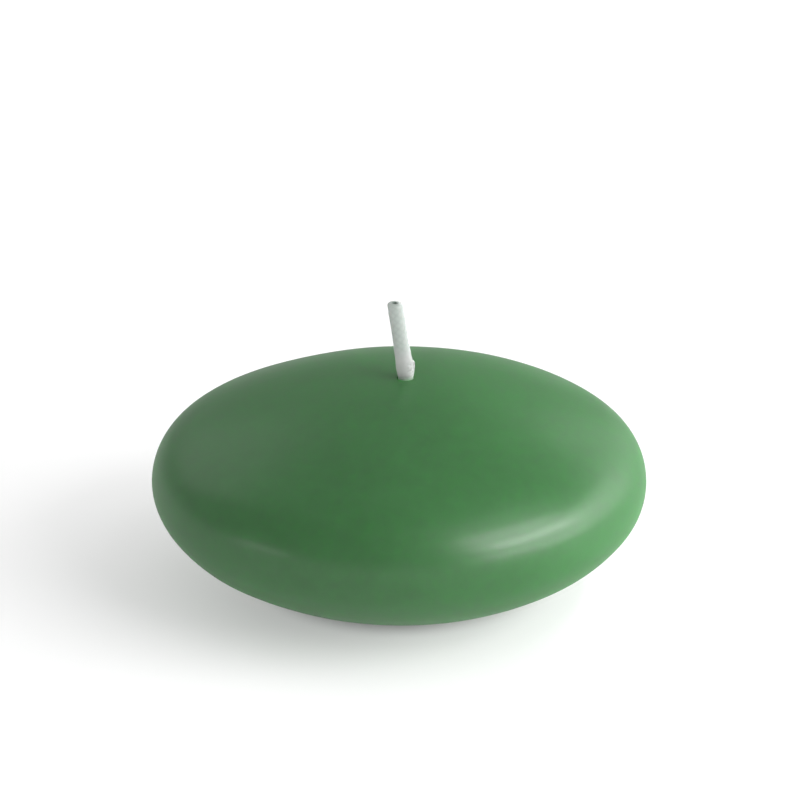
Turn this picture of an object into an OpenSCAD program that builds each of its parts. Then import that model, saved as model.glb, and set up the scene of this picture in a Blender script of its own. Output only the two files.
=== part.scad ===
// Floating candle: a lens-shaped wax body with a wick that runs right through it, held below by a
// pressed metal sustainer. Millimetres, +Z up, origin at the centre of the flat foot.

/* [Body] */
// Widest diameter of the wax body
body_d = 75; // [66:1:84]
// Radius of the rounded rim at the widest line
rim_r = 9; // [7:0.5:11]
// How far the rim arc turns up from the widest line, in degrees
rim_turn_up = 52; // [45:1:58]
// How far the rim arc turns down from the widest line, in degrees
rim_turn_down = 35; // [30:1:42]
// Radius of the shoulders that lead from the rim into the dome and the hull
shoulder_r = 18; // [14:0.5:22]
// Radius of the shallow dome on top
dome_r = 70; // [62:1:84]
// Radius of the round hull that sits in the water
hull_r = 57; // [50:1:66]
// Diameter of the flat foot that it stands on
foot_d = 25; // [23:0.5:30]
// Radius between the foot and the hull
foot_round = 3; // [1:0.5:5]

/* [Wick] */
// Diameter of the waxed wick
wick_d = 2.35; // [1.8:0.05:2.8]
// Height of the wick's tip above the wax
wick_height = 12; // [8:0.5:16]
// How far the wick leans away from upright, in degrees
wick_lean = 8; // [4:0.5:12]
// Radius of the bend where it starts to lean
bend_r = 6; // [4:0.5:9]
// How far the wick stands off the middle of the candle
wick_offset = 1; // [0:0.25:2]
// Chamfer round the cut tip
tip_chamfer = 0.18; // [0.1:0.02:0.3]
// Diameter of the sunken core that shows in the cut tip
core_d = 0.8; // [0.5:0.05:1]
// Depth to which the core has sunk
core_depth = 0.5; // [0.2:0.1:1]
// Height of the flare of scraped wax at the foot of the wick
flare_h = 2.4; // [1.5:0.1:3.5]
// Thickness of the flare at its lower edge
flare_foot = 0.05; // [0.03:0.01:0.08]
// How far the top of the flare spreads beyond the wick all round
flare_spread = 0.24; // [0.15:0.01:0.4]

/* [Wick channel] */
// Gap all round between the wick and the wax
wick_gap = 0.05; // [0.03:0.01:0.1]
// Depth of the worn mouth of the channel
mouth_depth = 2; // [1.5:0.1:3]
// How much wider the mouth is than the channel, all round
mouth_spread = 0.2; // [0.2:0.01:0.4]
// How far the mouth is worn towards the side the wick leans to
mouth_shift = 0.15; // [0:0.01:0.18]

/* [Sustainer] */
// Diameter of the disc
tab_d = 16; // [14:0.5:18]
// Thickness of the tinplate
tab_t = 0.3; // [0.2:0.05:0.4]
// Height of the neck above the disc
neck_h = 4; // [3:0.5:8]
// Gap between the neck and the wick before crimping
neck_gap = 0.25; // [0.15:0.05:0.4]
// Radius where the disc is drawn up into the neck
neck_round = 0.8; // [0.5:0.1:1.2]
// Gap that the crimp leaves round the wick
crimp_gap = 0.01; // [0.01:0.01:0.05]
// Height of the crimp's middle above the disc
crimp_z = 2.6; // [2:0.1:3]
// Width of the crimp
crimp_w = 1.1; // [0.8:0.1:1.4]
// Depth of the stiffening bead pressed into the disc
bead_h = 0.3; // [0.2:0.05:0.4]
// Width of the bead
bead_w = 1.6; // [1.2:0.1:2]
// Diameter of the bead's middle line
bead_d = 11; // [9:0.5:12]
// How deep the recess in the foot is
recess_depth = 1.2; // [0.9:0.1:2]
// Gap between the disc's edge and the recess
recess_gap = 0.3; // [0.2:0.05:0.6]
// Gap between the neck and the pocket that the wax leaves round it
pocket_gap = 0.1; // [0.05:0.05:0.3]

/* [Hidden] */
$fn = 96;

// How far a cutting shape runs past the face that it opens
overrun = 1;
// How far, in degrees, an arc of the outline laps over its flatter neighbour
lap = 12;
// How far an arc of the outline stands proud of that neighbour
hair = 0.0005;
// Deepest reach of the bands that are drawn along the arcs
band_depth = 6;
// How far the corners of the core that joins the bands lie under the outline
core_inset = 0.4;
// How far past the start of its arc, in degrees, each of those corners lies
core_turn = 4;

wick_r = wick_d / 2;
foot_r = foot_d / 2;
channel_r = wick_r + wick_gap;
neck_r = wick_r + neck_gap;
pocket_r = neck_r + tab_t + pocket_gap;

// The disc lies against the roof of the recess.
tab_top = recess_depth;
tab_bottom = recess_depth - tab_t;

// Unit vector at angle a from the X axis
function toward(a) = [cos(a), sin(a)];

// The body's outline is a chain of arcs that meet in tangent, placed here from the widest line.
rim_centre = [body_d / 2 - rim_r, 0];
upper_shoulder = rim_centre - (shoulder_r - rim_r) * toward(rim_turn_up);
lower_shoulder = rim_centre - (shoulder_r - rim_r) * toward(-rim_turn_down);
dome_drop = sqrt(pow(dome_r - shoulder_r, 2) - pow(upper_shoulder.x, 2));
dome_centre = [0, upper_shoulder.y - dome_drop];
dome_start = atan2(dome_drop, upper_shoulder.x);
hull_rise = sqrt(pow(hull_r - shoulder_r, 2) - pow(lower_shoulder.x, 2));
hull_centre = [0, lower_shoulder.y + hull_rise];
hull_start = -atan2(hull_rise, lower_shoulder.x);

// The flat foot sets how high the widest line lies above the table.
foot_drop = sqrt(pow(hull_r - foot_round, 2) - pow(foot_r, 2));
foot_start = -atan2(foot_drop, foot_r);
foot_centre = [foot_r, hull_centre.y - foot_drop];
widest_z = foot_round - foot_centre.y;
top_z = widest_z + dome_centre.y + dome_r;

// Height of the wax where the wick comes out, a little off the middle of the dome
wax_at_wick = widest_z + dome_centre.y + sqrt(pow(dome_r, 2) - pow(wick_offset, 2));

// Outer band of a disc, from angle a to angle b
module arc_band(centre, r, a, b) {
    reach = 2 * r;
    inner = max(r - band_depth, 0);
    intersection() {
        translate(centre) circle(r);
        polygon([
            centre + inner * toward(a),
            centre + reach * toward(a),
            centre + reach * toward(b),
            centre + inner * toward(b)
        ]);
    }
}

// Half of the body's section, with the widest line at height 0
module body_section() {
    // Each arc is [centre, radius, start angle, end angle]. It laps over a flatter neighbour, and
    // stands a hair proud of it, so that the two cross at one clear point.
    arcs = [
        [foot_centre, foot_round + hair, -90 - lap, foot_start + lap],
        [hull_centre, hull_r, foot_start, hull_start],
        [lower_shoulder, shoulder_r + hair, hull_start - lap, -rim_turn_down],
        [rim_centre, rim_r + 2 * hair, -rim_turn_down - lap, rim_turn_up + lap],
        [upper_shoulder, shoulder_r + hair, rim_turn_up, dome_start + lap],
        [dome_centre, dome_r, dome_start, 90 + lap]
    ];
    intersection() {
        union() {
            polygon([
                [0, -widest_z - overrun],
                [foot_r, -widest_z - overrun],
                for (arc = arcs) arc[0] + (arc[1] - core_inset) * toward(arc[2] + core_turn),
                [0, top_z - widest_z - overrun]
            ]);
            for (arc = arcs) arc_band(arc[0], arc[1], arc[2], arc[3]);
        }
        translate([0, -widest_z]) square(body_d);
    }
}

// Concave corner of a drawn sheet, between a flat at height 0 and a wall at radius r
module corner_fill(r, round) {
    difference() {
        translate([r, 0]) square(round);
        translate([r + round, round]) circle(round);
    }
}

// Ridge of the given width and height that stands on the X axis
module ridge(width, height) {
    arc_r = (pow(width / 2, 2) + pow(height, 2)) / (2 * height);
    intersection() {
        translate([0, height - arc_r]) circle(arc_r);
        translate([-width / 2, 0]) square([width, height]);
    }
}

module wax_body() {
    color("#3f8048")
    difference() {
        translate([0, 0, widest_z]) rotate_extrude() body_section();
        translate([wick_offset, 0, 0]) {
            cylinder(h = top_z + overrun, r = channel_r);
            sustainer_recess();
            channel_mouth();
        }
    }
}

// Room that the sustainer's disc and neck take up in the foot
module sustainer_recess() {
    translate([0, 0, -overrun]) cylinder(h = recess_depth + overrun, d = tab_d + 2 * recess_gap);
    cylinder(h = tab_top + neck_h + pocket_gap, r = pocket_r);
    translate([0, 0, tab_top]) rotate_extrude() corner_fill(pocket_r, neck_round);
}

// Worn mouth of the wick channel
module channel_mouth() {
    bottom_r = wick_r - mouth_shift;
    surface_r = channel_r + mouth_spread;
    slope = (surface_r - bottom_r) / mouth_depth;
    translate([-mouth_shift, 0, wax_at_wick - mouth_depth])
        cylinder(h = mouth_depth + overrun, r1 = bottom_r, r2 = surface_r + slope * overrun);
}

module wick() {
    // The straight part would meet the upright part at the surface of the wax.
    bend_z = wax_at_wick - bend_r * tan(wick_lean / 2);
    bend_top = bend_z + bend_r * sin(wick_lean);
    straight = (wax_at_wick + wick_height - bend_top) / cos(wick_lean);
    color("#dfe3dc")
    translate([wick_offset, 0, 0]) {
        translate([0, 0, tab_bottom]) cylinder(h = bend_z - tab_bottom, r = wick_r);
        translate([-bend_r, 0, bend_z]) {
            rotate([90, 0, 0])
                rotate_extrude(angle = wick_lean) translate([bend_r, 0]) circle(wick_r);
            rotate([0, -wick_lean, 0]) translate([bend_r, 0, 0]) wick_end(straight);
        }
        wax_flare();
    }
}

// Straight stretch up to the tip, with its chamfered cut and sunken core
module wick_end(length) {
    difference() {
        union() {
            cylinder(h = length - tip_chamfer, r = wick_r);
            translate([0, 0, length - tip_chamfer])
                cylinder(h = tip_chamfer, r1 = wick_r, r2 = wick_r - tip_chamfer);
        }
        translate([0, 0, length - core_depth]) cylinder(h = core_depth + overrun, d = core_d);
    }
}

// Wax scraped off the wick as it was threaded, standing upright round its foot
module wax_flare() {
    translate([0, 0, wax_at_wick])
        cylinder(h = flare_h, r1 = wick_r + flare_foot, r2 = wick_r + flare_spread);
}

module wick_sustainer() {
    color("#c9ccd0")
    translate([wick_offset, 0, tab_bottom])
        rotate_extrude() difference() {
            union() {
                translate([neck_r, 0]) square([tab_d / 2 - neck_r, tab_t]);
                translate([neck_r, 0]) square([tab_t, tab_t + neck_h]);
                translate([0, tab_t]) corner_fill(neck_r + tab_t, neck_round);
                disc_bead();
                neck_crimp();
            }
            corner_fill(neck_r, neck_round);
            translate([0, tab_t]) disc_bead();
            translate([tab_t, 0]) neck_crimp();
        }
}

// Round bead that stiffens the disc, pressed down from its upper face
module disc_bead() {
    translate([bead_d / 2, 0]) mirror([0, 1]) ridge(bead_w, bead_h);
}

// Rolled groove that grips the wick
module neck_crimp() {
    translate([neck_r, tab_t + crimp_z]) rotate(90) ridge(crimp_w, neck_gap - crimp_gap);
}

wax_body();
wick();
wick_sustainer();
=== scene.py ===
import math

import bpy
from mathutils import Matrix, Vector


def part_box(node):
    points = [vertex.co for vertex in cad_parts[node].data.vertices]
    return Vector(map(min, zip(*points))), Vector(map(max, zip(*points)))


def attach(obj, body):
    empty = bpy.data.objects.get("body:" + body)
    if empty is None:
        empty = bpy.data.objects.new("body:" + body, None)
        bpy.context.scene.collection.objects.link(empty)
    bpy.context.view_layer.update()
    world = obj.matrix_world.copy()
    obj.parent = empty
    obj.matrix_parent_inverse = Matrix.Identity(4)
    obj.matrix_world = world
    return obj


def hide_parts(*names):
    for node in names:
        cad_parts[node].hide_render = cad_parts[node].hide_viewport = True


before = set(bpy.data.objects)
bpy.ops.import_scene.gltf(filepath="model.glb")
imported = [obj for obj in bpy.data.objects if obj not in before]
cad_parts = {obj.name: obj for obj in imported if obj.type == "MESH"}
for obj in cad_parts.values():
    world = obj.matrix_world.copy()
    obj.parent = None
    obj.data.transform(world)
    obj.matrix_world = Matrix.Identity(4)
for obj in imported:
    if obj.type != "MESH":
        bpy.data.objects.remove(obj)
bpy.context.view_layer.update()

# Floating candle: a lens of cast green wax with a waxed cotton wick right through it and a pressed
# tinplate sustainer in its foot. The pieces are turned from rings that Geometry Nodes skin.
# Metres, +Z up, the flat foot on z = 0. Sizes in the dictionaries are millimetres unless said otherwise.
mm = 0.001
scene = bpy.context.scene


def hexToLinear(code):
    levels = [int(code[i:i + 2], 16) / 255 for i in (1, 3, 5)]
    linear = [c / 12.92 if c <= 0.04045 else ((c + 0.055) / 1.055) ** 2.4 for c in levels]
    return (*linear, 1)


def addNode(tree, kind, inputs=None, **settings):
    node = tree.nodes.new(kind)
    for name, value in settings.items():
        setattr(node, name, value)
    for key, value in (inputs or {}).items():
        if isinstance(value, bpy.types.Node):
            value = value.outputs[0]
        if isinstance(value, bpy.types.NodeSocket):
            tree.links.new(value, node.inputs[key])
        else:
            node.inputs[key].default_value = value
    return node


def toward(degrees):
    angle = math.radians(degrees)
    return Vector((math.cos(angle), math.sin(angle)))


def smooth(value, low, high):  # 0 at low, 1 at high, eased at both ends
    share = min(max((value - low) / (high - low), 0), 1)
    return share * share * (3 - 2 * share)


def arcPoints(centre, radius, start, end, step):
    count = max(3, math.ceil(math.radians(abs(end - start)) * radius / step))
    return [centre + radius * toward(start + (end - start) * i / count) for i in range(count + 1)]


def linePoints(start, end, step):
    start, end = Vector(start), Vector(end)
    count = max(1, math.ceil((end - start).length / step))
    return [start.lerp(end, i / count) for i in range(count + 1)]


def ring(radius, z, x=0, tilt=0, skin=1, coat=0, lip=0, core=0):
    # One turn of a piece: its size, middle and lean, and what the skin does there.
    return {"radius": radius, "z": z, "x": x, "tilt": tilt, "skin": skin, "coat": coat, "lip": lip,
            "core": core}


# Skin over rings
def newTree(name, sockets):
    tree = bpy.data.node_groups.new(name, "GeometryNodeTree")
    tree.interface.new_socket("Geometry", in_out="OUTPUT", socket_type="NodeSocketGeometry")
    for label, kind in sockets.items():
        tree.interface.new_socket(label, in_out="INPUT", socket_type="NodeSocket" + kind)
    return tree, tree.nodes.new("NodeGroupInput"), tree.nodes.new("NodeGroupOutput")


def makeSkinTree():
    tree, given, result = newTree("turnedSkin", {"Rings": "Geometry", "Columns": "Int"})
    ringCount = addNode(tree, "GeometryNodeAttributeDomainSize", {"Geometry": given.outputs["Rings"]},
                        component="MESH")
    edges = addNode(tree, "ShaderNodeMath", {0: given.outputs["Columns"], 1: 1.0}, operation="ADD")
    grid = addNode(tree, "GeometryNodeMeshGrid", {"Vertices X": edges, "Vertices Y": ringCount})
    index = addNode(tree, "GeometryNodeInputIndex")
    row = addNode(tree, "ShaderNodeMath", {0: index, 1: ringCount}, operation="MODULO")
    ratio = addNode(tree, "ShaderNodeMath", {0: index, 1: ringCount}, operation="DIVIDE")
    column = addNode(tree, "ShaderNodeMath", {0: ratio}, operation="FLOOR")
    turn = addNode(tree, "ShaderNodeMath", {0: column, 1: given.outputs["Columns"]}, operation="DIVIDE")
    angle = addNode(tree, "ShaderNodeMath", {0: turn, 1: math.tau}, operation="MULTIPLY")

    sampled = {}
    for name in ("radius", "tilt", "skin", "along", "coat", "lip", "core"):
        stored = addNode(tree, "GeometryNodeInputNamedAttribute", {"Name": name}, data_type="FLOAT")
        sampled[name] = addNode(tree, "GeometryNodeSampleIndex", {
            "Geometry": given.outputs["Rings"], "Value": stored.outputs["Attribute"], "Index": row})
    middle = addNode(tree, "GeometryNodeSampleIndex", {
        "Geometry": given.outputs["Rings"], "Value": addNode(tree, "GeometryNodeInputPosition"),
        "Index": row}, data_type="FLOAT_VECTOR")

    cosine = addNode(tree, "ShaderNodeMath", {0: angle}, operation="COSINE")
    sine = addNode(tree, "ShaderNodeMath", {0: angle}, operation="SINE")
    spoke = addNode(tree, "ShaderNodeCombineXYZ", {"X": cosine, "Y": sine})
    outward = addNode(tree, "ShaderNodeVectorRotate", {"Vector": spoke, "Angle": sampled["tilt"]},
                      rotation_type="Y_AXIS")
    reach = addNode(tree, "ShaderNodeVectorMath", {0: outward, "Scale": sampled["radius"]},
                    operation="SCALE")
    place = addNode(tree, "ShaderNodeVectorMath", {0: middle, 1: reach}, operation="ADD")
    shaped = addNode(tree, "GeometryNodeSetPosition", {"Geometry": grid, "Position": place})
    kept = {name: sampled[name] for name in ("skin", "along", "coat", "lip", "core")}
    for name, value in (*kept.items(), ("around", angle)):
        shaped = addNode(tree, "GeometryNodeStoreNamedAttribute",
                         {"Geometry": shaped, "Name": name, "Value": value}, data_type="FLOAT")
    shaped = addNode(tree, "GeometryNodeStoreNamedAttribute",
                     {"Geometry": shaped, "Name": "outward", "Value": outward},
                     data_type="FLOAT_VECTOR")
    closed = addNode(tree, "GeometryNodeMergeByDistance", {"Geometry": shaped, "Distance": 1e-7})
    tree.links.new(closed.outputs[0], result.inputs[0])
    return tree


skinTree = makeSkinTree()


def finishTree(tree, geometry, material, result, sharpAngle=40):
    bend = addNode(tree, "GeometryNodeInputMeshEdgeAngle")
    sharp = addNode(tree, "FunctionNodeCompare", {0: bend, 1: math.radians(sharpAngle)},
                    data_type="FLOAT", operation="GREATER_THAN")
    faces = addNode(tree, "GeometryNodeSetShadeSmooth", {"Geometry": geometry}, domain="FACE")
    edges = addNode(tree, "GeometryNodeSetShadeSmooth",
                    {"Geometry": faces, "Selection": sharp, "Shade Smooth": False}, domain="EDGE")
    real = addNode(tree, "GeometryNodeRealizeInstances", {"Geometry": edges})
    coated = addNode(tree, "GeometryNodeSetMaterial", {"Geometry": real, "Material": material})
    tree.links.new(coated.outputs[0], result.inputs[0])


def growPiece(name, rings, tree, values):
    along = [0.0]
    for last, this in zip(rings, rings[1:]):
        step = math.dist((last["x"] + last["radius"], last["z"]), (this["x"] + this["radius"], this["z"]))
        along.append(along[-1] + step)
    mesh = bpy.data.meshes.new(name)
    mesh.from_pydata([(turn["x"] * mm, 0, turn["z"] * mm) for turn in rings], [], [])
    columns = {
        "radius": [turn["radius"] * mm for turn in rings],
        "tilt": [turn["tilt"] for turn in rings],
        "skin": [turn["skin"] for turn in rings],
        "along": [step * mm for step in along],
        "coat": [turn["coat"] * mm for turn in rings],
        "lip": [turn["lip"] * mm for turn in rings],
        "core": [turn["core"] for turn in rings],
    }
    for key, numbers in columns.items():
        mesh.attributes.new(key, "FLOAT", "POINT").data.foreach_set("value", numbers)
    piece = bpy.data.objects.new(name, mesh)
    scene.collection.objects.link(piece)
    modifier = piece.modifiers.new(name, "NODES")
    modifier.node_group = tree
    for item in tree.interface.items_tree:
        if item.in_out == "INPUT" and item.name in values:
            modifier[item.identifier] = values[item.name]
    bpy.context.view_layer.update()
    evaluated = piece.evaluated_get(bpy.context.evaluated_depsgraph_get())
    grown = bpy.data.meshes.new_from_object(evaluated)
    piece.modifiers.remove(modifier)
    piece.data = grown
    grown.name = name
    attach(piece, "root")
    print(f"{name}: {len(grown.vertices)} points, {len(grown.polygons)} faces")
    return piece


# Materials
def newMaterial(name):
    material = bpy.data.materials.new(name)
    material.use_nodes = True
    return material, material.node_tree, material.node_tree.nodes["Principled BSDF"]


def makeCastWax():
    # Cast paraffin wax, let go from a polished mould: deep green and faintly clouded, with a few pale
    # specks. Its thin pressed skin gives a soft streak of light, the wax below a broad dull sheen and
    # an inner glow.
    look = {
        "deepGreen": "#215a25",
        "paleGreen": "#28632c",
        "speck": "#8fb98c",
        "cloudSize": 28,
        "mottleSize": 2.6,
        "mottleShare": 0.35,
        "noiseRange": (0.36, 0.64),      # where most of the noise lies
        "index": 1.28,
        "glossLow": 0.56,
        "glossHigh": 0.64,
        "skinIndex": 2.5,                # high, at a low share: clear highlights and hardly a pale rim
        "skinGloss": 0.3,
        "skinShare": 0.18,
        "glowDepth": 5,
        "glowTint": (0.12, 1.0, 0.12),   # green goes deep, red and blue are soaked up
        "skinGrain": 0.75,
        "skinRelief": 0.018,
        "speckSpacing": 11,
        "speckSize": 0.16,
    }
    material, tree, shader = newMaterial("castParaffinWax")
    place = addNode(tree, "ShaderNodeTexCoord").outputs["Object"]
    clouds = addNode(tree, "ShaderNodeTexNoise", {"Vector": place, "Scale": 1 / (look["cloudSize"] * mm),
                                                  "Detail": 3.0, "Roughness": 0.55})
    mottle = addNode(tree, "ShaderNodeTexNoise", {"Vector": place, "Scale": 1 / (look["mottleSize"] * mm),
                                                  "Detail": 2.0})
    blend = addNode(tree, "ShaderNodeMix", {"Factor": look["mottleShare"], 2: clouds.outputs["Fac"],
                                            3: mottle.outputs["Fac"]}, data_type="FLOAT")
    low, high = look["noiseRange"]
    spread = addNode(tree, "ShaderNodeMapRange", {"Value": blend, "From Min": low, "From Max": high})
    greens = addNode(tree, "ShaderNodeMix", {"Factor": spread, 6: hexToLinear(look["deepGreen"]),
                                             7: hexToLinear(look["paleGreen"])}, data_type="RGBA")
    cells = addNode(tree, "ShaderNodeTexVoronoi",
                    {"Vector": place, "Scale": 1 / (look["speckSpacing"] * mm), "Randomness": 1.0})
    near = look["speckSize"] / look["speckSpacing"]
    speck = addNode(tree, "ShaderNodeMapRange", {"Value": cells.outputs["Distance"], "From Min": near,
                                                 "From Max": near * 0.4})
    colour = addNode(tree, "ShaderNodeMix", {"Factor": speck, 6: greens.outputs[2],
                                             7: hexToLinear(look["speck"])}, data_type="RGBA")
    gloss = addNode(tree, "ShaderNodeMapRange", {"Value": blend, "From Min": low, "From Max": high,
                                                 "To Min": look["glossLow"], "To Max": look["glossHigh"]})
    grain = addNode(tree, "ShaderNodeTexNoise", {"Vector": place, "Scale": 1 / (look["skinGrain"] * mm),
                                                 "Detail": 4.0})
    relief = addNode(tree, "ShaderNodeBump", {"Height": grain.outputs["Fac"], "Strength": 1.0,
                                              "Distance": look["skinRelief"] * mm})
    for name, value in (("Base Color", colour.outputs[2]), ("Roughness", gloss.outputs[0]),
                        ("Normal", relief.outputs[0])):
        tree.links.new(value, shader.inputs[name])
    shader.inputs["IOR"].default_value = look["index"]
    shader.inputs["Coat Weight"].default_value = look["skinShare"]
    shader.inputs["Coat IOR"].default_value = look["skinIndex"]
    shader.inputs["Coat Roughness"].default_value = look["skinGloss"]
    shader.inputs["Subsurface Weight"].default_value = 1.0
    shader.inputs["Subsurface Radius"].default_value = look["glowTint"]
    shader.inputs["Subsurface Scale"].default_value = look["glowDepth"] * mm
    return material


def makeWaxedCotton():
    # Braided cotton, dipped in paraffin that green has bled into: pale grey-green and dull, its yarns
    # drowned, and so translucent that light comes through to the shaded side. Towards the foot
    # the coat is whiter, and where it was scraped up it is white and crumbly.
    look = {
        "crown": "#42574b",
        # painted shade in the furrows between the yarns
        "furrowShade": "#374a3f",
        "foot": "#686a68",
        "scraped": "#797c7a",
        "crumb": "#5d5f5d",
        "dyeAndPaintedLight": "#a3bfa6",      # dye from the wax at the very foot, made paler as painted light against the shade of the mouth
        # painted shade in the hollow at the middle of the cut end
        "core": "#26321f",
        "fibreSize": 0.18,
        "fibreRelief": 0.012,
        "crumbSize": 0.45,
        "index": 1.3,
        "gloss": 0.75,
        "glowDepth": 100,        # far more than its thickness, so that light passes through
        "glowShare": 0.62,       # of the light that does so
    }
    material, tree, shader = newMaterial("dippedCottonBraid")
    place = addNode(tree, "ShaderNodeTexCoord").outputs["Object"]
    marks = {name: addNode(tree, "ShaderNodeAttribute", attribute_name=name).outputs["Fac"]
             for name in ("relief", "bare", "scraped", "dyeAndPaintedLight", "core")}
    crumbs = addNode(tree, "ShaderNodeTexNoise", {"Vector": place, "Scale": 1 / (look["crumbSize"] * mm),
                                                  "Detail": 3.0})
    chalk = addNode(tree, "ShaderNodeMapRange", {"Value": crumbs.outputs["Fac"], "From Min": 0.35,
                                                 "From Max": 0.6})

    def blend(share, low, high):
        return addNode(tree, "ShaderNodeMix", {"Factor": share, 6: low, 7: high},
                       data_type="RGBA").outputs[2]

    # darker in the furrows between the yarns: painted shade
    yarns = blend(marks["relief"], hexToLinear(look["furrowShade"]), hexToLinear(look["crown"]))
    shaft = blend(marks["bare"], hexToLinear(look["foot"]), yarns)
    white = blend(chalk, hexToLinear(look["crumb"]), hexToLinear(look["scraped"]))
    coated = blend(marks["scraped"], shaft, white)
    # the very foot: the wax's dye, made paler as painted light against the shade of the mouth
    stained = blend(marks["dyeAndPaintedLight"], coated, hexToLinear(look["dyeAndPaintedLight"]))
    # dark in the hollow at the middle of the cut end: painted shade
    colour = blend(marks["core"], stained, hexToLinear(look["core"]))
    fibres = addNode(tree, "ShaderNodeTexNoise", {"Vector": place, "Scale": 1 / (look["fibreSize"] * mm),
                                                  "Detail": 3.0})
    bump = addNode(tree, "ShaderNodeBump", {"Height": fibres.outputs["Fac"], "Strength": 1.0,
                                            "Distance": look["fibreRelief"] * mm})
    tree.links.new(colour, shader.inputs["Base Color"])
    tree.links.new(bump.outputs[0], shader.inputs["Normal"])
    passing = addNode(tree, "ShaderNodeMath", {0: look["glowShare"], 1: marks["core"]},
                      operation="SUBTRACT", use_clamp=True)
    tree.links.new(passing.outputs[0], shader.inputs["Subsurface Weight"])
    shader.inputs["Roughness"].default_value = look["gloss"]
    shader.inputs["IOR"].default_value = look["index"]
    shader.inputs["Subsurface Radius"].default_value = (1.0, 1.0, 1.0)
    shader.inputs["Subsurface Scale"].default_value = look["glowDepth"] * mm
    return material


def makeTinplate():
    # Pressed tinplate: bright cool grey with the fine lines that the rolling mill left.
    look = {
        "tin": "#c9ccd0",
        "dull": "#aeb2b7",
        "lineSpacing": 0.12,
        "linePull": 0.04,        # 1 would make dots, less draws them out into lines
        "lineRelief": 0.004,
        "patchSize": 3,
        "gloss": 0.3,
    }
    material, tree, shader = newMaterial("pressedTinplate")
    place = addNode(tree, "ShaderNodeTexCoord").outputs["Object"]
    stretched = addNode(tree, "ShaderNodeMapping", {
        "Vector": place, "Scale": (1, look["linePull"], look["linePull"])})
    lines = addNode(tree, "ShaderNodeTexNoise", {"Vector": stretched,
                                                 "Scale": 1 / (look["lineSpacing"] * mm), "Detail": 2.0})
    patches = addNode(tree, "ShaderNodeTexNoise", {"Vector": place,
                                                   "Scale": 1 / (look["patchSize"] * mm), "Detail": 3.0})
    colour = addNode(tree, "ShaderNodeMix", {"Factor": patches.outputs["Fac"],
                                             6: hexToLinear(look["dull"]),
                                             7: hexToLinear(look["tin"])}, data_type="RGBA")
    bump = addNode(tree, "ShaderNodeBump", {"Height": lines.outputs["Fac"], "Strength": 0.6,
                                            "Distance": look["lineRelief"] * mm})
    tree.links.new(colour.outputs[2], shader.inputs["Base Color"])
    tree.links.new(bump.outputs[0], shader.inputs["Normal"])
    shader.inputs["Metallic"].default_value = 1.0
    shader.inputs["Roughness"].default_value = look["gloss"]
    return material


# Wax body
waxBody = {
    "rimRadius": 9,          # rounded rim at the widest line
    "rimTurnUp": 52,         # degrees
    "rimTurnDown": 35,       # degrees
    "shoulderRadius": 18,
    "domeRadius": 70,
    "hullRadius": 57,
    "footDiameter": 25,
    "footRound": 3,
    "wickOffset": 1,
    "channelRadius": 1.225,
    "mouthRadius": 1.27,
    "mouthDepth": 1.75,
    "mouthShift": 0.1,
    "mouthRings": 12,
    "lipRound": 0.1,
    "recessRadius": 8.3,
    "recessDepth": 1.2,
    "recessEdge": 0.15,      # round at the edge of the recess
    "pocketRadius": 1.825,
    "pocketTop": 5.3,
    "pocketRound": 0.8,
    "ringSpacing": 0.75,
    "footRings": 5,
    "columns": 256,
    "trueFoot": 4,           # height over which the foot stays true
    "unevenness": 0.03,      # how far the cast skin strays from true
    "unevenSize": 26,
    "ripple": 0.012,
    "rippleSize": 6,
    "dents": [               # soft hollows (+) and full places (-) in the cast skin
        {"place": (-14, 23, 28), "reach": 16, "depth": 0.14},
        {"place": (15, 23, 28), "reach": 14, "depth": -0.11},
        {"place": (-18, -27, 8), "reach": 13, "depth": 0.12},
        {"place": (-35.5, -8, 13), "reach": 8, "depth": 0.08},
        {"place": (-33, -15, 11), "reach": 12, "depth": 0.07},
        {"place": (-3, -26, 7), "reach": 18, "depth": 0.14},
        {"place": (30, -18, 9), "reach": 12, "depth": 0.03},
    ],
}


def placeArcs(size, widest):
    # The outline is a chain of arcs in tangent, placed from the widest line at height 0.
    rim = Vector((widest - size["rimRadius"], 0))
    inset = size["shoulderRadius"] - size["rimRadius"]
    upper = rim - inset * toward(size["rimTurnUp"])
    lower = rim - inset * toward(-size["rimTurnDown"])
    domeDrop = math.sqrt((size["domeRadius"] - size["shoulderRadius"]) ** 2 - upper.x ** 2)
    hullRise = math.sqrt((size["hullRadius"] - size["shoulderRadius"]) ** 2 - lower.x ** 2)
    footRadius = size["footDiameter"] / 2
    footDrop = math.sqrt((size["hullRadius"] - size["footRound"]) ** 2 - footRadius ** 2)
    dome, hull = Vector((0, upper.y - domeDrop)), Vector((0, lower.y + hullRise))
    foot = Vector((footRadius, hull.y - footDrop))
    lift = Vector((0, size["footRound"] - foot.y))
    domeStart = math.degrees(math.atan2(domeDrop, upper.x))
    hullStart = -math.degrees(math.atan2(hullRise, lower.x))
    footStart = -math.degrees(math.atan2(footDrop, footRadius))
    return {
        "foot": (foot + lift, size["footRound"], -90, footStart),
        "hull": (hull + lift, size["hullRadius"], footStart, hullStart),
        "lower": (lower + lift, size["shoulderRadius"], hullStart, -size["rimTurnDown"]),
        "rim": (rim + lift, size["rimRadius"], -size["rimTurnDown"], size["rimTurnUp"]),
        "upper": (upper + lift, size["shoulderRadius"], size["rimTurnUp"], domeStart),
        "dome": (dome + lift, size["domeRadius"], domeStart, 90),
    }


bodyLow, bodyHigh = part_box("wax_body")
arcs = placeArcs(waxBody, (bodyHigh.x - bodyLow.x) / 2 / mm)
domeCentre = arcs["dome"][0]
waxAtWick = domeCentre.y + math.sqrt(waxBody["domeRadius"] ** 2 - waxBody["wickOffset"] ** 2)


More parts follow.
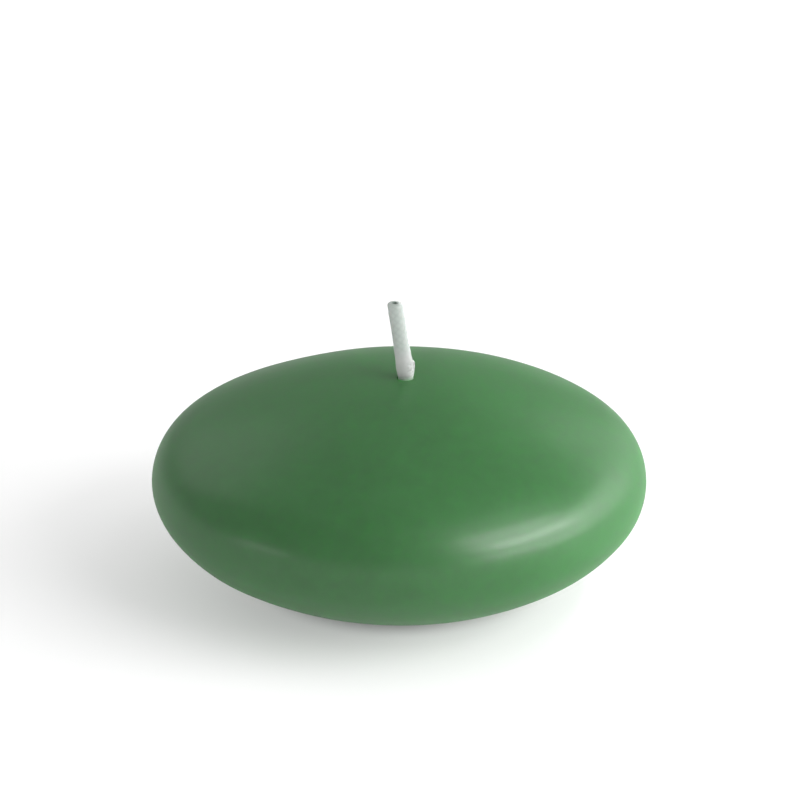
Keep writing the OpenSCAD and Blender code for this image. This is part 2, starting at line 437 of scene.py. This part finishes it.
def makeBodyRings(size):
    rings = []
    for name in ("foot", "hull", "lower", "rim", "upper"):
        centre, radius, start, end = arcs[name]
        points = arcPoints(centre, radius, start, end, size["ringSpacing"])
        for point in points[:-1]:
            rings.append(ring(point.x, point.y, skin=smooth(point.y, 0, size["trueFoot"])))
    # On the dome the rings lean over little by little, to close in on the mouth off the middle.
    mouthMiddle = size["wickOffset"] - size["mouthShift"]
    fullTilt = math.asin(mouthMiddle / size["domeRadius"])
    start = arcs["dome"][2]
    lipStart = math.degrees(math.acos((size["mouthRadius"] + size["lipRound"]) / size["domeRadius"]))
    steps = math.ceil(math.radians(lipStart - start) * size["domeRadius"] / size["ringSpacing"])
    for i in range(steps + 1):
        share = i / steps
        turn = math.radians(90 - (start + (lipStart - start) * (1 - (1 - share) ** 1.35)))
        tilt = fullTilt * smooth(share, 0.4, 0.95)
        reach = size["domeRadius"] * math.cos(turn)
        rings.append(ring(size["domeRadius"] * math.sin(turn), domeCentre.y + reach * math.cos(tilt),
                          x=reach * math.sin(tilt), tilt=tilt, skin=smooth(share, 1.0, 0.9)))
    surface = rings[-1]
    lipCentre = Vector((surface["radius"], surface["z"] - size["lipRound"]))
    for point in arcPoints(lipCentre, size["lipRound"], 90, 180, 0.04)[1:]:
        rings.append(ring(point.x, point.y, x=mouthMiddle, tilt=fullTilt, skin=0))
    for i in range(1, size["mouthRings"] + 1):
        share = i / size["mouthRings"]
        rings.append(ring(size["mouthRadius"] + (size["channelRadius"] - size["mouthRadius"]) * share,
                          lipCentre.y - (size["mouthDepth"] - size["lipRound"]) * share,
                          x=mouthMiddle + size["mouthShift"] * share, tilt=fullTilt * (1 - share), skin=0))
    inner = linePoints((size["channelRadius"], rings[-1]["z"] - 1), (size["channelRadius"],
                       size["pocketTop"]), 2.5)
    inner += linePoints((size["channelRadius"], size["pocketTop"]),
                        (size["pocketRadius"], size["pocketTop"]), 1)[1:]
    fillet = Vector((size["pocketRadius"] + size["pocketRound"], size["recessDepth"] + size["pocketRound"]))
    inner += arcPoints(fillet, size["pocketRound"], 180, 270, 0.2)
    inner += linePoints((fillet.x, size["recessDepth"]), (size["recessRadius"], size["recessDepth"]), 1)[1:]
    edge = size["recessEdge"]
    inner += linePoints((size["recessRadius"], size["recessDepth"]), (size["recessRadius"], edge), 0.5)[1:]
    inner += arcPoints(Vector((size["recessRadius"] + edge, edge)), edge, 180, 270, 0.06)[1:]
    for point in inner:
        rings.append(ring(point.x, point.y, x=size["wickOffset"], skin=0))
    footRadius = size["footDiameter"] / 2
    footInside = rings[-1]["radius"]
    for i in range(1, size["footRings"]):
        share = i / size["footRings"]
        rings.append(ring(footInside + (footRadius - footInside) * share, 0,
                          x=size["wickOffset"] * (1 - share), skin=0))
    return rings + [rings[0]]


def makeCastTree(size):
    tree, given, result = newTree("castSkin", {
        "Rings": "Geometry", "Columns": "Int", "Unevenness": "Float", "Uneven Size": "Float",
        "Ripple": "Float", "Ripple Size": "Float", "Seed": "Float", "Material": "Material"})
    skinned = addNode(tree, "GeometryNodeGroup", node_tree=skinTree)
    tree.links.new(given.outputs["Rings"], skinned.inputs["Rings"])
    tree.links.new(given.outputs["Columns"], skinned.inputs["Columns"])
    place = addNode(tree, "GeometryNodeInputPosition")
    total = None
    for height, width in (("Unevenness", "Uneven Size"), ("Ripple", "Ripple Size")):
        scale = addNode(tree, "ShaderNodeMath", {0: 1.0, 1: given.outputs[width]}, operation="DIVIDE")
        noise = addNode(tree, "ShaderNodeTexNoise", {"Vector": place, "W": given.outputs["Seed"],
                                                     "Scale": scale, "Detail": 1.0},
                        noise_dimensions="4D")
        level = addNode(tree, "ShaderNodeMapRange", {"Value": noise.outputs["Fac"], "To Min": -1.0})
        wave = addNode(tree, "ShaderNodeMath", {0: level, 1: given.outputs[height]}, operation="MULTIPLY")
        total = wave if total is None else addNode(tree, "ShaderNodeMath", {0: total, 1: wave},
                                                   operation="ADD")
    for dent in size["dents"]:
        middle = tuple(value * mm for value in dent["place"])
        away = addNode(tree, "ShaderNodeVectorMath", {0: place, 1: middle}, operation="DISTANCE")
        depth = addNode(tree, "ShaderNodeMapRange", {
            "Value": away.outputs["Value"], "From Min": 0.0, "From Max": dent["reach"] * mm,
            "To Min": dent["depth"] * mm, "To Max": 0.0}, interpolation_type="SMOOTHSTEP")
        total = addNode(tree, "ShaderNodeMath", {0: total, 1: depth}, operation="SUBTRACT")
    skin = addNode(tree, "GeometryNodeInputNamedAttribute", {"Name": "skin"}, data_type="FLOAT")
    offset = addNode(tree, "ShaderNodeMath", {0: total, 1: skin.outputs["Attribute"]},
                     operation="MULTIPLY")
    push = addNode(tree, "ShaderNodeVectorMath", {0: addNode(tree, "GeometryNodeInputNormal"),
                                                  "Scale": offset}, operation="SCALE")
    cast = addNode(tree, "GeometryNodeSetPosition", {"Geometry": skinned, "Offset": push})
    finishTree(tree, cast, given.outputs["Material"], result)
    return tree


body = growPiece("waxBody", makeBodyRings(waxBody), makeCastTree(waxBody), {
    "Columns": waxBody["columns"],
    "Unevenness": waxBody["unevenness"] * mm,
    "Uneven Size": waxBody["unevenSize"] * mm,
    "Ripple": waxBody["ripple"] * mm,
    "Ripple Size": waxBody["rippleSize"] * mm,
    "Seed": 4.0,
    "Material": makeCastWax(),
})
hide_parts("wax_body")

# Wick
wick = {
    "radius": 1.175,
    "offset": 1,
    "bottom": 0.9,
    "height": 12,          # of the tip above the wax
    "lean": 8.2,           # degrees
    "leanStart": 0.65,     # height above the wax where its upright and its leaning lines meet
    "bendRadius": 12,
    "tipRound": 0.42,
    "tipRings": 7,
    "level": 1.2,          # length over which the rings turn level, to the cut
    "dish": 0.06,          # how far the cut is hollowed
    "dishRings": 6,
    # the hollow sunk in the middle of the cut end, whose inside is painted dark as shade
    "coreRadius": 0.3,
    "coreDepth": 0.55,
    "coreShift": (0.06, 0.22, 0),
    "columns": 120,
    "ringSpacing": 0.08,
    "hiddenSpacing": 1.2,  # below the wax
    "diamonds": 6,         # yarn crossings round the braid
    "crossing": 1.1,       # length of one crossing
    "yarnRelief": 0.022,
    "yarnsShown": (0.15, 0.6),   # share of that relief which the wax leaves, at the foot and above it
    "lump": 0.03,
    "lumpSize": 1.8,
    "coat": [              # height above the wax, and thickness there of the wax scraped up the wick
        (-0.4, 0.0), (0.0, -0.07), (0.65, 0.06), (1.6, 0.2), (2.3, 0.19), (2.7, 0.15), (3.6, 0.08),
        (4.3, 0.05), (5.4, 0.0),
    ],
    "lip": [               # height, and what the crumbly lip adds on the side away from the lean
        (-0.2, 0.0), (0.2, 0.03), (0.9, 0.09), (1.6, 0.14), (2.05, 0.19), (2.34, 0.19), (2.42, 0.02),
        (2.55, 0.0),
    ],
    "thinSide": 0.6,       # thickness of the coat on the side of the lean, as a share of the other's
    "crumb": 0.035,
    "crumbSize": 0.4,
    "bareFrom": (3.0, 5.5),   # heights between which the whiter foot turns into the grey-green shaft
    "dyeAndLightTo": 0.7,       # height that the dye and the painted light at the foot reach
}
leanAngle = math.radians(wick["lean"])
bendLow = waxAtWick + wick["leanStart"] - wick["bendRadius"] * math.tan(leanAngle / 2)
bendLength = leanAngle * wick["bendRadius"]
bendTop = bendLow + wick["bendRadius"] * math.sin(leanAngle)
straightLength = (waxAtWick + wick["height"] - bendTop) / math.cos(leanAngle)
wickLength = bendLow - wick["bottom"] + bendLength + straightLength
wickAtWax = waxAtWick - wick["bottom"]


def wickPath(distance):  # middle of the wick and its lean, at a distance along it from its lower end
    upright = bendLow - wick["bottom"]
    if distance <= upright:
        return Vector((wick["offset"], wick["bottom"] + distance)), 0
    turn = min((distance - upright) / wick["bendRadius"], leanAngle)
    pivot = Vector((wick["offset"] - wick["bendRadius"], bendLow))
    spoke = Vector((math.cos(turn), math.sin(turn)))
    point = pivot + wick["bendRadius"] * spoke
    beyond = max(distance - upright - bendLength, 0)
    return point + beyond * Vector((-spoke.y, spoke.x)), -turn


def profile(points, height):
    for (low, thin), (high, thick) in zip(points, points[1:]):
        if low <= height <= high:
            return thin + (thick - thin) * smooth(height, low, high)
    return 0


def wickRing(distance, radius, skin=1, core=0):
    middle, tilt = wickPath(distance)
    tilt *= 1 - smooth(distance, wickLength - wick["level"], wickLength)
    height = distance - wickAtWax
    return ring(radius, middle.y, x=middle.x, tilt=tilt, skin=skin, coat=profile(wick["coat"], height),
                lip=profile(wick["lip"], height), core=core)


def makeWickRings(size):
    rings = [wickRing(0, 0, 0), wickRing(0, size["radius"] * 0.7, 0)]
    shaft = wickLength - size["tipRound"]
    shown = wickAtWax - 0.5
    hidden = math.ceil(shown / size["hiddenSpacing"])
    count = math.ceil((shaft - shown) / size["ringSpacing"])
    stations = [shown * i / hidden for i in range(hidden)]
    stations += [shown + (shaft - shown) * i / count for i in range(count + 1)]
    for distance in stations:
        rings.append(wickRing(distance, size["radius"]))
    cutRadius = size["radius"] - size["tipRound"]
    for i in range(1, size["tipRings"] + 1):
        side = toward(90 * i / size["tipRings"])
        rings.append(wickRing(shaft + size["tipRound"] * side.y, cutRadius + size["tipRound"] * side.x))
    for i in range(1, size["dishRings"] + 1):
        share = i / size["dishRings"]
        sunk = size["dish"] * smooth(share, 0, 1)
        rings.append(wickRing(wickLength - sunk, cutRadius + (size["coreRadius"] - cutRadius) * share,
                              skin=1 - share, core=0.4 * smooth(share, 0.2, 1)))
    for share in (0.15, 0.4, 0.7, 1):
        rings.append(wickRing(wickLength - size["dish"] - (size["coreDepth"] - size["dish"]) * share,
                              size["coreRadius"] * (1 - 0.2 * share), skin=0, core=0.4 + 0.6 * share))
    rings.append(wickRing(wickLength - size["coreDepth"] - 0.03, 0, skin=0, core=1))
    return rings


def makeBraidTree():
    tree, given, result = newTree("braidedWick", {
        "Rings": "Geometry", "Columns": "Int", "Diamonds": "Float", "Crossing": "Float",
        "Yarn Relief": "Float", "Lump": "Float", "Lump Size": "Float", "Crumb": "Float",
        "Crumb Size": "Float", "Thin Side": "Float", "Bare Start": "Float", "Bare End": "Float",
        "Wax Line": "Float", "Dye And Light Reach": "Float", "Hollow Shift": "Vector", "Seed": "Float",
        "Material": "Material"})
    skinned = addNode(tree, "GeometryNodeGroup", node_tree=skinTree)
    tree.links.new(given.outputs["Rings"], skinned.inputs["Rings"])
    tree.links.new(given.outputs["Columns"], skinned.inputs["Columns"])
    named = {}
    for name in ("around", "along", "skin", "coat", "lip", "core"):
        stored = addNode(tree, "GeometryNodeInputNamedAttribute", {"Name": name}, data_type="FLOAT")
        named[name] = stored.outputs["Attribute"]
    outward = addNode(tree, "GeometryNodeInputNamedAttribute", {"Name": "outward"},
                      data_type="FLOAT_VECTOR")

    def sums(operation, *parts):
        total = parts[0]
        for part in parts[1:]:
            total = addNode(tree, "ShaderNodeMath", {0: total, 1: part}, operation=operation)
        return total

    def waves(label, width, detail):
        scale = sums("DIVIDE", 1.0, given.outputs[width])
        noise = addNode(tree, "ShaderNodeTexNoise", {
            "Vector": addNode(tree, "GeometryNodeInputPosition"), "W": given.outputs["Seed"],
            "Scale": scale, "Detail": detail}, noise_dimensions="4D")
        level = addNode(tree, "ShaderNodeMapRange", {"Value": noise.outputs["Fac"], "From Min": 0.25,
                                                     "From Max": 0.75, "To Min": -1.0})
        return sums("MULTIPLY", level, given.outputs[label])

    def eased(value, low, high, atLow=0.0, atHigh=1.0):
        return addNode(tree, "ShaderNodeMapRange", {
            "Value": value, "From Min": low, "From Max": high, "To Min": atLow, "To Max": atHigh},
            interpolation_type="SMOOTHSTEP")

    # Two sets of yarns cross in diamonds
    half = sums("MULTIPLY", given.outputs["Diamonds"], 0.5)
    winding = sums("MULTIPLY", named["around"], half)
    crossings = sums("DIVIDE", named["along"], given.outputs["Crossing"])
    climb = sums("MULTIPLY", crossings, math.pi)
    ridges = []
    for hand in ("ADD", "SUBTRACT"):
        wave = addNode(tree, "ShaderNodeMath", {0: sums(hand, winding, climb)}, operation="SINE")
        ridges.append(addNode(tree, "ShaderNodeMath", {0: wave}, operation="ABSOLUTE"))
    crown = addNode(tree, "ShaderNodeMath", {0: sums("MULTIPLY", *ridges), 1: 0.5}, operation="POWER")
    bare = eased(named["along"], given.outputs["Bare Start"], given.outputs["Bare End"])
    shown = sums("MULTIPLY", sums("SUBTRACT", crown, 1.0), eased(bare, 0.0, 1.0, *wick["yarnsShown"]))
    yarn = sums("MULTIPLY", shown, given.outputs["Yarn Relief"])

    # Scraped wax: a coat all round, thinner on the side of the lean, and a lip on the other side
    side = addNode(tree, "ShaderNodeMath", {0: named["around"]}, operation="COSINE")
    coat = sums("MULTIPLY", named["coat"], eased(side, -0.6, 1.0, given.outputs["Thin Side"]))
    lipSide = eased(side, 0.1, 0.6)
    lip = sums("MULTIPLY", named["lip"], lipSide)
    scraped = sums("MULTIPLY", eased(named["lip"], 0.0, 0.0001), lipSide)
    crumbs = sums("MULTIPLY", waves("Crumb", "Crumb Size", 3.0), eased(scraped, 0.0, 1.0, 0.15))
    total = sums("ADD", yarn, waves("Lump", "Lump Size", 2.0), crumbs, coat, lip)
    offset = sums("MULTIPLY", total, named["skin"])
    push = addNode(tree, "ShaderNodeVectorMath", {0: outward.outputs["Attribute"], "Scale": offset},
                   operation="SCALE")
    sunk = addNode(tree, "ShaderNodeVectorMath", {0: given.outputs["Hollow Shift"], "Scale": named["core"]},
                   operation="SCALE")
    moved = addNode(tree, "ShaderNodeVectorMath", {0: push, 1: sunk}, operation="ADD")
    marked = addNode(tree, "GeometryNodeSetPosition", {"Geometry": skinned, "Offset": moved})
    dyeAndLightEnd = sums("ADD", given.outputs["Wax Line"], given.outputs["Dye And Light Reach"])
    for name, value in (("relief", sums("ADD", shown, 1.0)), ("bare", bare), ("scraped", scraped),
                        ("dyeAndPaintedLight", eased(named["along"], given.outputs["Wax Line"], dyeAndLightEnd, 1.0, 0.0))):
        marked = addNode(tree, "GeometryNodeStoreNamedAttribute",
                         {"Geometry": marked, "Name": name, "Value": value}, data_type="FLOAT")
    finishTree(tree, marked, given.outputs["Material"], result, sharpAngle=60)
    return tree


wickStart = wick["radius"]   # the rings' own path begins at the middle of the lower end
shaft = growPiece("braidedWick", makeWickRings(wick), makeBraidTree(), {
    "Columns": wick["columns"],
    "Diamonds": float(wick["diamonds"]),
    "Crossing": wick["crossing"] * mm,
    "Yarn Relief": wick["yarnRelief"] * mm,
    "Lump": wick["lump"] * mm,
    "Lump Size": wick["lumpSize"] * mm,
    "Crumb": wick["crumb"] * mm,
    "Crumb Size": wick["crumbSize"] * mm,
    "Thin Side": wick["thinSide"],
    "Bare Start": (wickStart + wickAtWax + wick["bareFrom"][0]) * mm,
    "Bare End": (wickStart + wickAtWax + wick["bareFrom"][1]) * mm,
    "Wax Line": (wickStart + wickAtWax) * mm,
    "Dye And Light Reach": wick["dyeAndLightTo"] * mm,
    "Hollow Shift": tuple(value * mm for value in wick["coreShift"]),
    "Seed": 2.0,
    "Material": makeWaxedCotton(),
})
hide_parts("wick")

# Sustainer
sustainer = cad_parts["wick_sustainer"]
sustainer.data.materials.clear()
sustainer.data.materials.append(makeTinplate())
print("sustainer: tinplate on the packed node")

# Camera
view = {
    "place": (0.00014, -0.5511, 0.2523),   # metres
    "pitch": 68.047,         # degrees; 0 looks straight down
    "lens": 177.44,
    "sensor": 36,
}
cameraData = bpy.data.cameras.new("camera")
cameraData.lens = view["lens"]
cameraData.sensor_width = view["sensor"]
camera = bpy.data.objects.new("camera", cameraData)
camera.location = view["place"]
camera.rotation_euler = (math.radians(view["pitch"]), 0, 0)
scene.collection.objects.link(camera)
scene.camera = camera

# Floor
floorLook = {
    "reach": 4.0,            # metres
    "sides": 64,
    "drop": 0.00003,         # metres below the foot
    "paint": "#f2f2f2",      # as the object's surroundings see it
    "shownPaint": "#d0d0d0",
    "shownGlow": 0.36,       # 1 is white
    # painted shadow on the floor right under the object, darkest within the first radius and gone at the
    # end
    "paintedShadow": "#7c7c7c",
    "paintedShadowMiddle": (0, 0.004, 0),   # metres
    "paintedShadowRadius": 0.014,  # metres; within it, right under the object, the painted shadow is darkest
    "paintedShadowEnd": 0.0245,
}


def makeFloor(look):
    # Matt white paint, which shows a little brighter than lit, so that its shadows stay light. Right under
    # the object a painted shadow darkens the paint and fades the glow out.
    # The side that faces down lets the view through, so that the foot can be looked at.
    material, tree, shader = newMaterial("mattWhitePaint")
    tree.nodes.remove(shader)
    plain = addNode(tree, "ShaderNodeBsdfDiffuse", {"Color": hexToLinear(look["paint"])})
    place = addNode(tree, "ShaderNodeNewGeometry").outputs["Position"]
    away = addNode(tree, "ShaderNodeVectorMath", {0: place, 1: look["paintedShadowMiddle"]},
                   operation="DISTANCE").outputs["Value"]
    # painted shadow mask: 0 right under the object, 1 beyond it; it darkens the paint and takes the glow
    # away
    clear = addNode(tree, "ShaderNodeMapRange", {"Value": away, "From Min": look["paintedShadowRadius"],
                                                 "From Max": look["paintedShadowEnd"]},
                    interpolation_type="SMOOTHSTEP")
    paintedShadowTone = addNode(tree, "ShaderNodeMix", {"Factor": clear, 6: hexToLinear(look["paintedShadow"]),
                                           7: hexToLinear(look["shownPaint"])}, data_type="RGBA")
    shown = addNode(tree, "ShaderNodeBsdfDiffuse", {"Color": paintedShadowTone.outputs[2]})
    level = addNode(tree, "ShaderNodeMath", {0: clear, 1: look["shownGlow"]}, operation="MULTIPLY")
    glow = addNode(tree, "ShaderNodeEmission", {"Strength": level})
    lifted = addNode(tree, "ShaderNodeAddShader", {0: shown, 1: glow})
    path = addNode(tree, "ShaderNodeLightPath")
    seen = addNode(tree, "ShaderNodeMath", {0: path.outputs["Is Camera Ray"],
                                            1: path.outputs["Is Glossy Ray"]}, operation="ADD")
    seen = addNode(tree, "ShaderNodeMath", {0: seen, 1: path.outputs["Is Transmission Ray"]},
                   operation="ADD", use_clamp=True)
    paint = addNode(tree, "ShaderNodeMixShader", {0: seen, 1: plain, 2: lifted})
    back = addNode(tree, "ShaderNodeNewGeometry").outputs["Backfacing"]
    through = addNode(tree, "ShaderNodeBsdfTransparent")
    choice = addNode(tree, "ShaderNodeMixShader", {0: back, 1: paint, 2: through})
    tree.links.new(choice.outputs[0], tree.nodes["Material Output"].inputs["Surface"])
    mesh = bpy.data.meshes.new("floor")
    corners = [(math.cos(a) * look["reach"], math.sin(a) * look["reach"], -look["drop"])
               for a in (math.tau * i / look["sides"] for i in range(look["sides"]))]
    mesh.from_pydata(corners, [], [tuple(range(look["sides"]))])
    mesh.materials.append(material)
    floor = bpy.data.objects.new("floor", mesh)
    scene.collection.objects.link(floor)


makeFloor(floorLook)

# Light: azimuth is counted from the front, to the right; brightness 1 is white paper in that place
lamps = {
    "rightKey": {"azimuth": 65, "elevation": 21, "width": 0.75, "height": 0.18, "brightness": 14.0},
    "rightLow": {"azimuth": 62, "elevation": 4.5, "width": 1.0, "height": 0.13, "brightness": 8.0},
    "rightHigh": {"azimuth": 58, "elevation": 38, "width": 0.8, "height": 0.22, "brightness": 6.5},
    "rightFront": {"azimuth": 38, "elevation": 22, "width": 0.3, "height": 0.2, "brightness": 4.0},
    "rightSide": {"azimuth": 96, "elevation": 15, "width": 0.35, "height": 0.5, "brightness": 4.0},
    "rightBack": {"azimuth": 118, "elevation": 16, "width": 0.45, "height": 0.55, "brightness": 3.0},
    "backRight": {"azimuth": 144, "elevation": 20, "width": 0.45, "height": 0.6, "brightness": 1.5},
    "backLeft": {"azimuth": -135, "elevation": 34, "width": 0.7, "height": 0.6, "brightness": 0.7},
    "leftStrip": {"azimuth": -62, "elevation": 1.2, "width": 0.45, "height": 0.036, "brightness": 9.0},
    "high": {"azimuth": 68, "elevation": 56, "width": 0.8, "height": 0.4, "brightness": 1.1},
}
pool = {                   # a spot that brightens the floor beside the object, and misses the object
    "middle": (0.085, -0.012, 0),   # metres
    "azimuth": 75,
    "elevation": 60,
    "cone": 5.4,           # degrees
    "softness": 0.6,
    "power": 25,           # watts
    "radius": 0.02,        # metres
}
lampDistance = 1.0
worldLevel = 0.57


def away(azimuth, elevation):  # unit vector towards a lamp
    azimuth, elevation = math.radians(azimuth), math.radians(elevation)
    return Vector((math.sin(azimuth) * math.cos(elevation), -math.cos(azimuth) * math.cos(elevation),
                   math.sin(elevation)))


def hangLamp(light, target, direction):
    holder = bpy.data.objects.new(light.name, light)
    holder.location = Vector(target) + direction * lampDistance
    holder.rotation_euler = direction.to_track_quat("Z", "Y").to_euler()
    holder.visible_camera = False
    scene.collection.objects.link(holder)


def makeLamps():
    for name, lamp in lamps.items():
        light = bpy.data.lights.new(name, "AREA")
        light.shape = "RECTANGLE"
        light.size, light.size_y = lamp["width"], lamp["height"]
        light.energy = lamp["brightness"] * math.pi * lamp["width"] * lamp["height"]
        hangLamp(light, (0, 0, 0), away(lamp["azimuth"], lamp["elevation"]))
    spot = bpy.data.lights.new("floorPool", "SPOT")
    spot.energy = pool["power"]
    spot.spot_size = math.radians(pool["cone"])
    spot.spot_blend = pool["softness"]
    spot.shadow_soft_size = pool["radius"]
    hangLamp(spot, pool["middle"], away(pool["azimuth"], pool["elevation"]))


def makeWorld():
    world = bpy.data.worlds.new("room")
    scene.world = world
    world.use_nodes = True
    world.node_tree.nodes["Background"].inputs["Color"].default_value = (1, 1, 1, 1)
    world.node_tree.nodes["Background"].inputs["Strength"].default_value = worldLevel


makeLamps()
makeWorld()
scene.view_settings.view_transform = "Standard"
